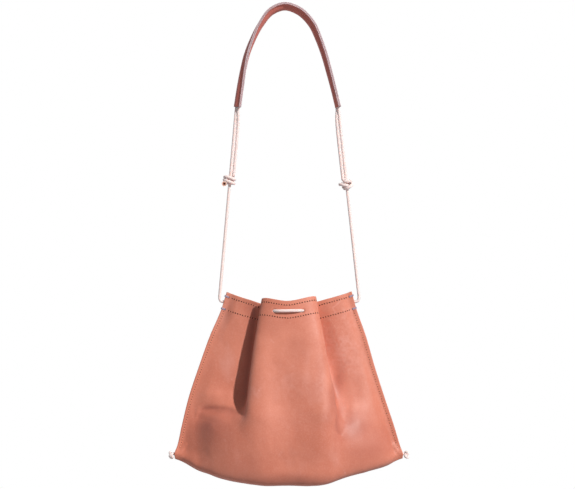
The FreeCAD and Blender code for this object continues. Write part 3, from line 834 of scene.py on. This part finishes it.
def skin(name, outer, inner, keep, materials, edge_bulge=0.3):
    """Closed sheet between two grids of points, with rounded cut edges; keep says which cells exist."""
    columns, rows = outer.shape[:2]
    middle = (outer + inner) / 2
    number = np.arange(columns * rows).reshape(columns, rows)
    points = [outer.reshape(-1, 3), inner.reshape(-1, 3)]
    inside = columns * rows
    a, b, c, d = number[:-1, :-1][keep], number[1:, :-1][keep], number[1:, 1:][keep], number[:-1, 1:][keep]
    front = np.stack([a, b, c, d], axis=1)
    back = np.stack([a, d, c, b], axis=1) + inside
    walls = {}
    for i, j in zip(*np.nonzero(keep)):
        sides = (((i, j), (i + 1, j), (i, j - 1)), ((i + 1, j), (i + 1, j + 1), (i + 1, j)),
                 ((i + 1, j + 1), (i, j + 1), (i, j + 1)), ((i, j + 1), (i, j), (i - 1, j)))
        for one, two, cell in sides:
            out = not (0 <= cell[0] < columns - 1 and 0 <= cell[1] < rows - 1)
            if out or not keep[cell]:
                walls[(one, two)] = (i, j)
    rim_number, rim_points, wall_faces = {}, [], []
    for (one, two), (i, j) in walls.items():
        centre = middle[i:i + 2, j:j + 2].reshape(4, 3).mean(axis=0)
        for p in (one, two):
            if p not in rim_number:
                rim_number[p] = 2 * inside + len(rim_points)
                away = middle[p] - centre
                rim_points.append(middle[p] + away / np.linalg.norm(away) * edge_bulge)
        m1, m2 = rim_number[one], rim_number[two]
        o1, o2 = number[one], number[two]
        wall_faces.append((o2, o1, m1, m2))
        wall_faces.append((m2, m1, o1 + inside, o2 + inside))
    faces = front.tolist() + back.tolist() + wall_faces
    kinds = [0] * len(front) + [1] * len(back) + [2] * len(wall_faces)
    points = np.concatenate(points + [np.array(rim_points)])
    used = np.zeros(len(points), bool)
    for face in faces:
        used[list(face)] = True
    renumber = np.cumsum(used) - 1
    faces = [tuple(int(renumber[v]) for v in face) for face in faces]
    return add_mesh(name, points[used], faces, materials, kinds)


def punch(outer, inner, middle, keep, x, z, radius):
    """Open a round hole through front and back: drop its cells and draw the ragged edge to a circle."""
    centres = (middle[:-1, :-1] + middle[1:, :-1] + middle[1:, 1:] + middle[:-1, 1:]) / 4
    away = np.hypot(centres[..., 0] - x, centres[..., 2] - z)
    gone = (away < radius + HOLE_MARGIN) & (np.abs(centres[..., 1]) > HOLE_DEPTH)
    keep &= ~gone
    corner = np.zeros(middle.shape[:2], bool)
    for di in (0, 1):
        for dj in (0, 1):
            corner[di:di + gone.shape[0], dj:dj + gone.shape[1]] |= gone
    for grid in (outer, inner):
        dx, dz = grid[..., 0] - x, grid[..., 2] - z
        reach = np.maximum(np.hypot(dx, dz), 1e-6)
        scale = np.where(corner, radius / reach, 1.0)
        grid[..., 0] = x + dx * scale
        grid[..., 2] = z + dz * scale


SCRATCH_BOW = 0.06        # a scratch bows by this share of its length


def mark_leather(obj):
    """Paint where the leather is scuffed, with some painted highlight, and lay painted shade in its creases
    and hollows.
    """
    x, y, z = np.array([v.co for v in obj.data.vertices]).T / MM
    front = y < 0
    wear_and_highlight, shade = np.zeros(len(x)), np.zeros(len(x))
    for start, end, width, strength in SCRATCHES:
        share, _ = to_segment(x, z, start, end)
        dx, dz = end[0] - start[0], end[1] - start[1]
        bow = np.sin(share * math.pi) * SCRATCH_BOW * math.hypot(dx, dz)
        away = np.hypot(x - start[0] - share * dx - bow * 0.6, z - start[1] - share * dz + bow * 0.4)
        wear_and_highlight = np.maximum(wear_and_highlight, np.exp(-(away / width) ** 2) * strength * front)
    grit = 0.5 + 0.5 * smooth_noise(x / 3.1 + 20, z / 3.7 + 90, 21)
    # Pale patches: real scuffs, and painted highlight where the fold and belly catch the light.
    for centre, size, lean, strength in SCUFFS_AND_HIGHLIGHTS:
        wear_and_highlight = np.maximum(wear_and_highlight, bump_at(x, z, centre, size, lean) * strength * grit * front)
    # Painted shade from the shade patches and beside the creases.
    for centre, size, lean, strength in PAINTED_SHADES:
        shade = np.maximum(shade, bump_at(x, z, centre, size, lean) * strength * front)
    for line, width, _, painted_shade in CREASES:
        shade = np.maximum(shade, fold_beside(x, z, line, width) * painted_shade * front)
    for name, values in (("wear_and_highlight", wear_and_highlight), ("shade", shade)):
        layer = obj.data.attributes.new(name, "FLOAT", "POINT")
        layer.data.foreach_set("value", values.astype(np.float32))


# Pale scratches: from (x, z) to (x, z), half width, strength.
SCRATCHES = [
    ((89, -464.5), (77, -475.5), 0.8, 0.8), ((77, -475.5), (81, -484.5), 0.8, 0.8),
    ((72, -493), (83, -509), 0.8, 0.8), ((62, -504), (70, -512), 0.9, 0.5),
    ((100, -545), (118, -566), 0.7, 0.4), ((-84, -590), (-70, -574), 0.6, 0.5),
    ((-94, -680), (-91, -700), 0.7, 0.5), ((-22, -524), (-17, -529), 0.9, 0.5),
    ((82, -712), (96, -735), 0.8, 0.5), ((24, -655), (32, -610), 0.8, 0.3),
    ((-8, -705), (-4, -699), 0.9, 0.6), ((-46, -612), (-38, -600), 0.9, 0.6),
    ((-40, -606), (-30, -590), 0.7, 0.4), ((-60, -640), (-84, -672), 0.7, 0.25),
    ((60, -600), (74, -650), 1.4, 0.3),
]
# Scuffs, partly painted highlight, and patches of painted shade: (x, z), size, lean, strength.
SCUFFS_AND_HIGHLIGHTS = [
    ((96, -545), (26, 42), 12, 0.8), ((116, -536), (10, 8), 0, 0.7), ((104, -490), (16, 20), 0, 0.7),
    ((58, -600), (7, 30), -8, 0.6), ((66, -640), (10, 24), -14, 0.4), ((-44, -606), (10, 14), -30, 0.5),
    ((10, -590), (34, 30), 0, 0.35), ((10, -650), (46, 24), 0, 0.25), ((70, -520), (12, 20), 0, 0.4),
    ((128, -596), (14, 26), 0, 0.25), ((-100, -560), (18, 20), 0, 0.2),
]
# Painted shade: darker patches where the leather lies in shade.
PAINTED_SHADES = [
    ((100, -562), (9, 6), 0, 0.3), ((-12, -500), (30, 20), 0, 0.12), ((18, -535), (18, 22), 0, 0.2),
    ((132, -692), (46, 34), 0, 0.42), ((112, -664), (30, 30), -34, 0.58), ((-116, -662), (34, 24), 0, 0.48),
    ((58, -575), (10, 40), -10, 0.2),
    ((10, -748), (110, 9), 0, 0.25), ((-88, -488), (8, 10), 0, 0.2), ((-60, -730), (30, 20), 0, 0.2),
    ((112, -600), (34, 60), -14, 0.18), ((82, -606), (12, 50), -14, 0.5), ((40, -700), (60, 30), 0, 0.12),
]


def bag_hide():
    """The hide with its flesh side, its cut edges and the punched cord holes."""
    outer = SURFACE - NORMALS * HIDE / 2
    inner = SURFACE + NORMALS * HIDE / 2
    keep = np.ones((SURFACE.shape[0] - 1, SURFACE.shape[1] - 1), bool)
    for x in HOLES_X:
        punch(outer, inner, SURFACE, keep, x, HOLE_Z, HOLE_RADIUS)
    hide = skin("bag_hide_leather", outer, inner, keep, [LEATHER, SUEDE, RAW_EDGE])
    mark_leather(hide)
    stand_for(hide, "body_leather", "bag", "hide")


bag_hide()

# ------------------------------------------------------------------ channel facings

FACING_TOP, FACING_BOTTOM = 3.0, 31.0
FACING_OFFSET = 6.9       # from the middle of the leather to the middle of the facing, over the cord
FACING_GAP = 0.1          # between leather and facing where they are sewn together
FACING_MARGIN = 2         # fold lines left free at each side


def facing(name, back):
    """Lining strip that closes the drawstring channel: sewn flat along both rows, bulging over the cord."""
    coarse = np.linspace(FACING_MARGIN, ACROSS - FACING_MARGIN, 2 * (ACROSS - 2 * FACING_MARGIN) + 1)
    points, normals = top_band(coarse, 1.6, 60, back)
    levels = np.linspace(FACING_TOP, FACING_BOTTOM, 15)
    over_channel = np.clip((levels - UPPER_ROW) / (LOWER_ROW - UPPER_ROW), 0, 1)
    bulge = np.clip(np.sin(over_channel * math.pi), 0, 1) ** 0.7
    near = HIDE / 2 + LINING / 2 + FACING_GAP
    strip = np.empty((len(coarse), len(levels), 3))
    pick = np.arange(len(coarse))
    for j, level in enumerate(levels):
        place = below_edge(points, level)
        low = place.astype(int)
        share = (place - low)[:, None]
        base = points[pick, low] * (1 - share) + points[pick, low + 1] * share
        strip[:, j] = base + normals[pick, low] * (near + (FACING_OFFSET - near) * bulge[j])
    strip = along(strip, np.linspace(0, len(coarse) - 1, 170))
    into = hide_normals(strip)
    keep = np.ones((strip.shape[0] - 1, strip.shape[1] - 1), bool)
    piece = skin(f"{name}_lining", strip - into * LINING / 2, strip + into * LINING / 2, keep,
                 [LINING_LEATHER, LINING_LEATHER, RAW_EDGE], 0.15)
    stand_for(piece, "lining_leather", "bag", name)


facing("front_channel_facing", False)
facing("back_channel_facing", True)

# ------------------------------------------------------------------ drawstrings and stop knots

CHANNEL = [
    (-76, -5.2, -472.5), (-66, -6.8, -475.8), (-56.5, -8, -478.5), (-45, -6.8, -481.5), (-33.5, -6.5, -483),
    (-30.3, -15, -482.5), (-32.3, -26, -481.2), (-27.5, -35.5, -480.2), (-20, -40, -479.8),
    (-15, -45.2, -479.5), (-8, -50, -479.3), (7, -51.2, -479), (21.5, -49.8, -479), (28.8, -44.8, -479),
    (35.5, -40, -478.4), (44, -36, -477.8), (46.5, -26, -479.2), (44.4, -16, -480.8), (50.5, -8.6, -481.2),
    (62, -8.8, -480.2), (72.7, -9.3, -477.8), (83, -7.6, -475),
]
LEFT_INLET = [(LEFT_ENTRY_X + 4, 0, SWING_Z - 3), (-85.5, -1.6, -467)]
RIGHT_INLET = [(RIGHT_ENTRY_X - 4, 0, SWING_Z - 3), (101.5, -1.6, -467)]
RIGHT_DESCENT = [
    (92, -3.6, -475), (98, -2, -487), (105, -0.8, -504), (116, 0, -537), (130.5, 0, -580),
    (145, 0, -625), (159, 0, -667), (172, 0, -696), (181, 0, -706.5), (191.5, 0, -710),
]
LEFT_DESCENT = [
    (-83.5, -1.4, -475), (-88, -0.6, -488), (-93.5, 0, -505), (-103, 0, -537), (-116, 0, -580),
    (-130, 0, -625), (-144, 0, -665), (-155.5, 0, -695), (-166, 0, -706.5), (-176.9, 0, -710),
]
LEFT_STOP = np.array([-181.0, 0.0, -711.5])
RIGHT_STOP = np.array([195.6, 0.0, -711.5])


def drawstring(name, route):
    """One cord of the bag, from its entry round the channel and down to its lower corner."""
    cord = tube(f"{name}_woven", spline_path(f"{name}_route", route), CORD / 2, [CORD_COTTON])
    stand_for(cord, "cord", "bag", name)


drawstring("front_drawstring", LEFT_INLET + CHANNEL + RIGHT_DESCENT)
drawstring("back_drawstring", [(x, -y, z) for x, y, z in RIGHT_INLET + CHANNEL[::-1] + LEFT_DESCENT])

STOP_REACH = 2.0          # how far the knot's crossings stand apart along its cord
STOP_SPREAD = 1.62        # size of its three loops
STOP_CORD = 0.88          # the cord is drawn thin there


def stop_knot(side, centre, outward, turn):
    """Overhand knot pulled tight against the corner: three loops, open where the cord's two ends leave."""
    route = []
    for k in range(3, 46):
        t = k * 2 * math.pi / 48
        a = (math.sin(t) + 2 * math.sin(2 * t)) * STOP_SPREAD
        b = (math.cos(t) - 2 * math.cos(2 * t)) * STOP_SPREAD
        spot = (-math.sin(3 * t) * STOP_REACH * outward, a * math.cos(turn) - b * math.sin(turn),
                a * math.sin(turn) + b * math.cos(turn))
        route.append(tuple(centre + np.array(spot)))
    knot = tube(f"{side}_stop_knot_tied", spline_path(f"{side}_stop_route", route), CORD / 2 * STOP_CORD,
                [CORD_COTTON, CORD_CORE], step=0.5, end=CORED_END)
    stand_for(knot, "cord", "bag", f"{side}_stop_knot")


stop_knot("left", LEFT_STOP, -1, 0.4)
stop_knot("right", RIGHT_STOP, 1, 1.3)

# ------------------------------------------------------------------ sewing

# One stitch from hole to hole: share of the way, and height above the leather.
CHANNEL_STITCH = [
    (0.24, -0.40), (0.31, 0.04), (0.40, 0.22), (0.5, 0.26), (0.60, 0.22), (0.69, 0.04), (0.76, -0.40),
]
SEAM_STITCH = [(0.13, -0.4), (0.26, 0.04), (0.5, 0.18), (0.74, 0.04), (0.87, -0.4)]
# Threads: radius, material, points round it.
FINE_THREAD = (THREAD / 2 * 0.8, THREAD_TAN, 8)
TACK_THREAD = (0.42, THREAD_GREY, 10)
# Awl holes: half length and half width.
CHANNEL_HOLE = (1.15, 1.0)
SEAM_HOLE = (0.80, 0.55)
TACK_HOLE = (0.9, 0.7)
PRICK_RING = 10           # points round a hole
PRICK_RINGS = ((0.0, 1.0), (0.07, 0.8))   # height and share of the width of each ring of its shallow dome
PRICK_TOP = 0.09
TACK_SPACING = 0.95       # between a tack's three turns
TACK_LENGTH = 6.4
TACK_HEIGHT = 0.25        # middle of the thread above the leather


def threads(name, lines, radius, material, ring):
    """Many short threads in one piece, each a small tube with rounded ends along its own line."""
    points, faces = [], []
    turn = np.linspace(0, 2 * math.pi, ring, endpoint=False)
    for line in lines:
        wide = radius * np.sqrt(np.clip(1 - np.linspace(-0.98, 0.98, len(line)) ** 6, 0.05, 1))
        first, last = len(points), len(points) + (len(line) - 1) * ring
        points.extend(ring_points(line, wide[:, None], turn))
        faces += ring_faces(len(line), ring, first)
        faces.append(tuple(first + j for j in range(ring))[::-1])
        faces.append(tuple(last + j for j in range(ring)))
    return add_mesh(name, points, faces, [material])


def awl_holes(name, spots, normals, slants, size):
    """Small dark pricks of painted shade where the thread goes through: shallow domes on the leather."""
    ring = PRICK_RING
    points, faces = [], []
    for spot, normal, slant in zip(spots, normals, slants):
        long_way, short_way = slant * size[0], np.cross(normal, slant) * size[1]
        first = len(points)
        for height, wide in PRICK_RINGS:
            for turn in np.linspace(0, 2 * math.pi, ring, endpoint=False):
                offset = (long_way * math.cos(turn) + short_way * math.sin(turn)) * wide
                points.append(spot + normal * height + offset)
        points.append(spot + normal * PRICK_TOP)
        for j in range(ring):
            k = (j + 1) % ring
            faces.append((first + j, first + ring + j, first + ring + k, first + k))
            faces.append((first + ring + j, first + 2 * ring, first + ring + k))
    return add_mesh(name, points, faces, [HOLE_SHADE])


def places_on(points, normals, rows):
    """Surface points and normals where a fractional row crosses each column."""
    low = np.minimum(rows.astype(int), points.shape[1] - 2)
    share = (rows - low)[:, None]
    pick = np.arange(len(points))
    spot = points[pick, low] * (1 - share) + points[pick, low + 1] * share
    return spot, normals[pick, low] * (1 - share) + normals[pick, low + 1] * share


def stitched_row(line, normals):
    """Hole places at an even pitch along a line on the leather, and their normals."""
    gone = lengths_along(line)
    at = np.linspace(0, gone[-1], int(gone[-1] / STITCH_PITCH) + 1)
    return read_at(at, gone, line), unit(read_at(at, gone, normals))


def stitch_lines(spots, outward, stitch):
    """The thread between each pair of neighbouring holes, dipping into both."""
    return [np.array([one + (two - one) * share + normal * height for share, height in stitch])
            for one, two, normal in zip(spots, spots[1:], outward)]


def sew(name, slot, node, lines, thread, spots, outward, slant, hole):
    """One row's thread, and the holes that it goes through."""
    stand_for(threads(f"{name}_thread", lines, *thread), slot, "bag", node)
    stand_for(awl_holes(f"{name}_awl_holes", spots, outward, slant, hole), slot, "bag")


def channel_rows():
    """Both rows of the channel, on the front and on the back."""
    columns = np.linspace(ROW_MARGIN, ACROSS - ROW_MARGIN, 900)
    for face in ("front", "back"):
        points, normals = top_band(columns, 1.7, 90, face == "back")
        points = points - normals * HIDE / 2
        for row, distance in (("upper", UPPER_ROW), ("lower", LOWER_ROW)):
            line, normal = places_on(points, normals, below_edge(points, distance))
            spots, outward = stitched_row(line, -normal)
            ahead = unit(np.gradient(spots, axis=0))
            slant = unit(ahead * 0.85 + np.cross(ahead, outward) * 0.53)
            lines = stitch_lines(spots, outward, CHANNEL_STITCH)
            sew(f"{face}_{row}_row", "thread", f"{face}_{row}_channel_stitches", lines, FINE_THREAD,
                spots, outward, slant, CHANNEL_HOLE)


channel_rows()


def seam_rows():
    """The side seams, on the front and on the back."""
    top, bottom = SEAM_ROW_ENDS
    inset = SEAM_ROW / SEAM_FLAT
    for side, across in (("left", inset), ("right", ACROSS - inset)):
        lines, rows = [], []
        for down in (np.linspace(top, BASE - bottom, 700), np.linspace(BASE + bottom, DOWN - top, 700)):
            points, normals = hide_surface(np.array([across - 0.02, across, across + 0.02]), down)
            spots, outward = stitched_row((points - normals * HIDE / 2)[1], -normals[1])
            lines += stitch_lines(spots, outward, SEAM_STITCH)
            rows.append((spots, outward))
        spots, outward = (np.concatenate(part) for part in zip(*rows))
        slant = unit(np.cross(outward, np.array([1.0, 0.3, 0.4])))
        sew(f"{side}_seam", "thread", f"{side}_seam_stitches", lines, FINE_THREAD, spots, outward, slant,
            SEAM_HOLE)


seam_rows()


def corner_tacks():
    """Grey thread laid three times round the side edge at the end of each row."""
    to_back = np.array([1, -1, 1])
    for side, edge, inward in (("left", 0.0, 1), ("right", float(ACROSS), -1)):
        lines, spots, outward = [], [], []
        points, normals = top_band(np.sort(edge + inward * np.linspace(0, 1.3, 14)), 1.7, 90)
        if inward < 0:
            points, normals = points[::-1], normals[::-1]
        for distance in (UPPER_ROW, LOWER_ROW):
            for shift in (-1.0, 0.0, 1.0):
                rows = below_edge(points, distance + shift * TACK_SPACING)
                line, normal = places_on(points, normals, rows)
                face = line - normal * (HIDE / 2 + TACK_HEIGHT)
                reach = np.linspace(TACK_LENGTH - abs(shift) * 0.5, 0.0, 9)
                front = read_at(reach, lengths_along(face), face)
                start = front[0] + normal[6] * 0.9
                rim = front[-1] + unit(front[-1] - front[-2]) * 0.45 + np.array([0, 0.8, 0])
                route = np.concatenate([[start], front, [rim], [rim * to_back], front[::-1] * to_back,
                                        [start * to_back]])
                lines.append(along(route, np.linspace(0, len(route) - 1, 70)))
                for spot, out in ((front[0], -normal[6]), (front[0] * to_back, -normal[6] * to_back)):
                    spots.append(spot - out * 0.1)
                    outward.append(unit(out))
        spots, outward = np.array(spots), np.array(outward)
        slant = unit(np.cross(outward, np.array([1.0, 0.0, 0.2])))
        sew(f"{side}_tack", "tack_thread", f"{side}_corner_tacks", lines, TACK_THREAD, spots, outward, slant,
            TACK_HOLE)


corner_tacks()

# ------------------------------------------------------------------ floor and light

FLOOR_Z = -1.30
FLOOR_HALF = 12.0
FLOOR_TONE = (0.42, 0.42, 0.43, 1)
STUDIO_TONE = (0.92, 0.94, 1.0, 1)
FILL = 0.19               # studio around the bag
WALL = 0.95               # pale wall behind it
WALL_FROM, WALL_TO = 0.05, 0.45   # how far back the light rises from one to the other
KEY_STRENGTH = 3.75
KEY_SPREAD = 2.5
KEY_TONE = (1.0, 0.97, 0.94)
KEY_FROM = (38.0, 34.0)   # degrees to the right of the camera, and above the horizon


def white_to_camera(tree, shader, white, output):
    """The camera sees plain white, and everything else sees the shader."""
    path, mix = tree.nodes.new("ShaderNodeLightPath"), tree.nodes.new("ShaderNodeMixShader")
    tree.links.new(path.outputs["Is Camera Ray"], mix.inputs[0])
    tree.links.new(shader.outputs[0], mix.inputs[1])
    tree.links.new(white.outputs[0], mix.inputs[2])
    tree.links.new(mix.outputs[0], output.inputs[0])


def make_floor():
    material = bpy.data.materials.new("pale_floor")
    material.use_nodes = True
    tree = material.node_tree
    shader = tree.nodes["Principled BSDF"]
    shader.inputs["Base Color"].default_value = FLOOR_TONE
    shader.inputs["Roughness"].default_value = 0.9
    white_to_camera(tree, shader, tree.nodes.new("ShaderNodeEmission"), tree.nodes["Material Output"])
    corners = [(-1, -1), (1, -1), (1, 1), (-1, 1)]
    mesh = bpy.data.meshes.new("floor")
    mesh.from_pydata([(x * FLOOR_HALF, y * FLOOR_HALF, FLOOR_Z) for x, y in corners], [], [(0, 1, 2, 3)])
    mesh.materials.append(material)
    floor = bpy.data.objects.new("floor", mesh)
    bpy.context.scene.collection.objects.link(floor)


def make_world():
    """Soft studio light from all round, brighter from a pale wall behind the bag."""
    world = bpy.data.worlds.new("studio")
    bpy.context.scene.world = world
    world.use_nodes = True
    tree = world.node_tree
    tree.nodes.clear()
    white, fill = tree.nodes.new("ShaderNodeBackground"), tree.nodes.new("ShaderNodeBackground")
    white.inputs["Color"].default_value = (1, 1, 1, 1)
    fill.inputs["Color"].default_value = STUDIO_TONE
    place, split = tree.nodes.new("ShaderNodeTexCoord"), tree.nodes.new("ShaderNodeSeparateXYZ")
    wall = tree.nodes.new("ShaderNodeMapRange")
    limits = {"From Min": WALL_FROM, "From Max": WALL_TO, "To Min": FILL, "To Max": WALL}
    for name, value in limits.items():
        wall.inputs[name].default_value = value
    tree.links.new(place.outputs["Generated"], split.inputs[0])
    tree.links.new(split.outputs["Y"], wall.inputs["Value"])
    tree.links.new(wall.outputs[0], fill.inputs["Strength"])
    white_to_camera(tree, fill, white, tree.nodes.new("ShaderNodeOutputWorld"))


def make_lights():
    key = bpy.data.lights.new("key", "SUN")
    key.energy = KEY_STRENGTH
    key.angle = math.radians(KEY_SPREAD)
    key.color = KEY_TONE
    lamp = bpy.data.objects.new("key", key)
    right, up = math.radians(KEY_FROM[0]), math.radians(KEY_FROM[1])
    from_key = Vector((math.sin(right) * math.cos(up), -math.cos(right) * math.cos(up), math.sin(up)))
    lamp.rotation_euler = from_key.to_track_quat("Z", "Y").to_euler()
    bpy.context.scene.collection.objects.link(lamp)


make_floor()
make_world()
make_lights()
bpy.context.scene.view_settings.view_transform = "Standard"
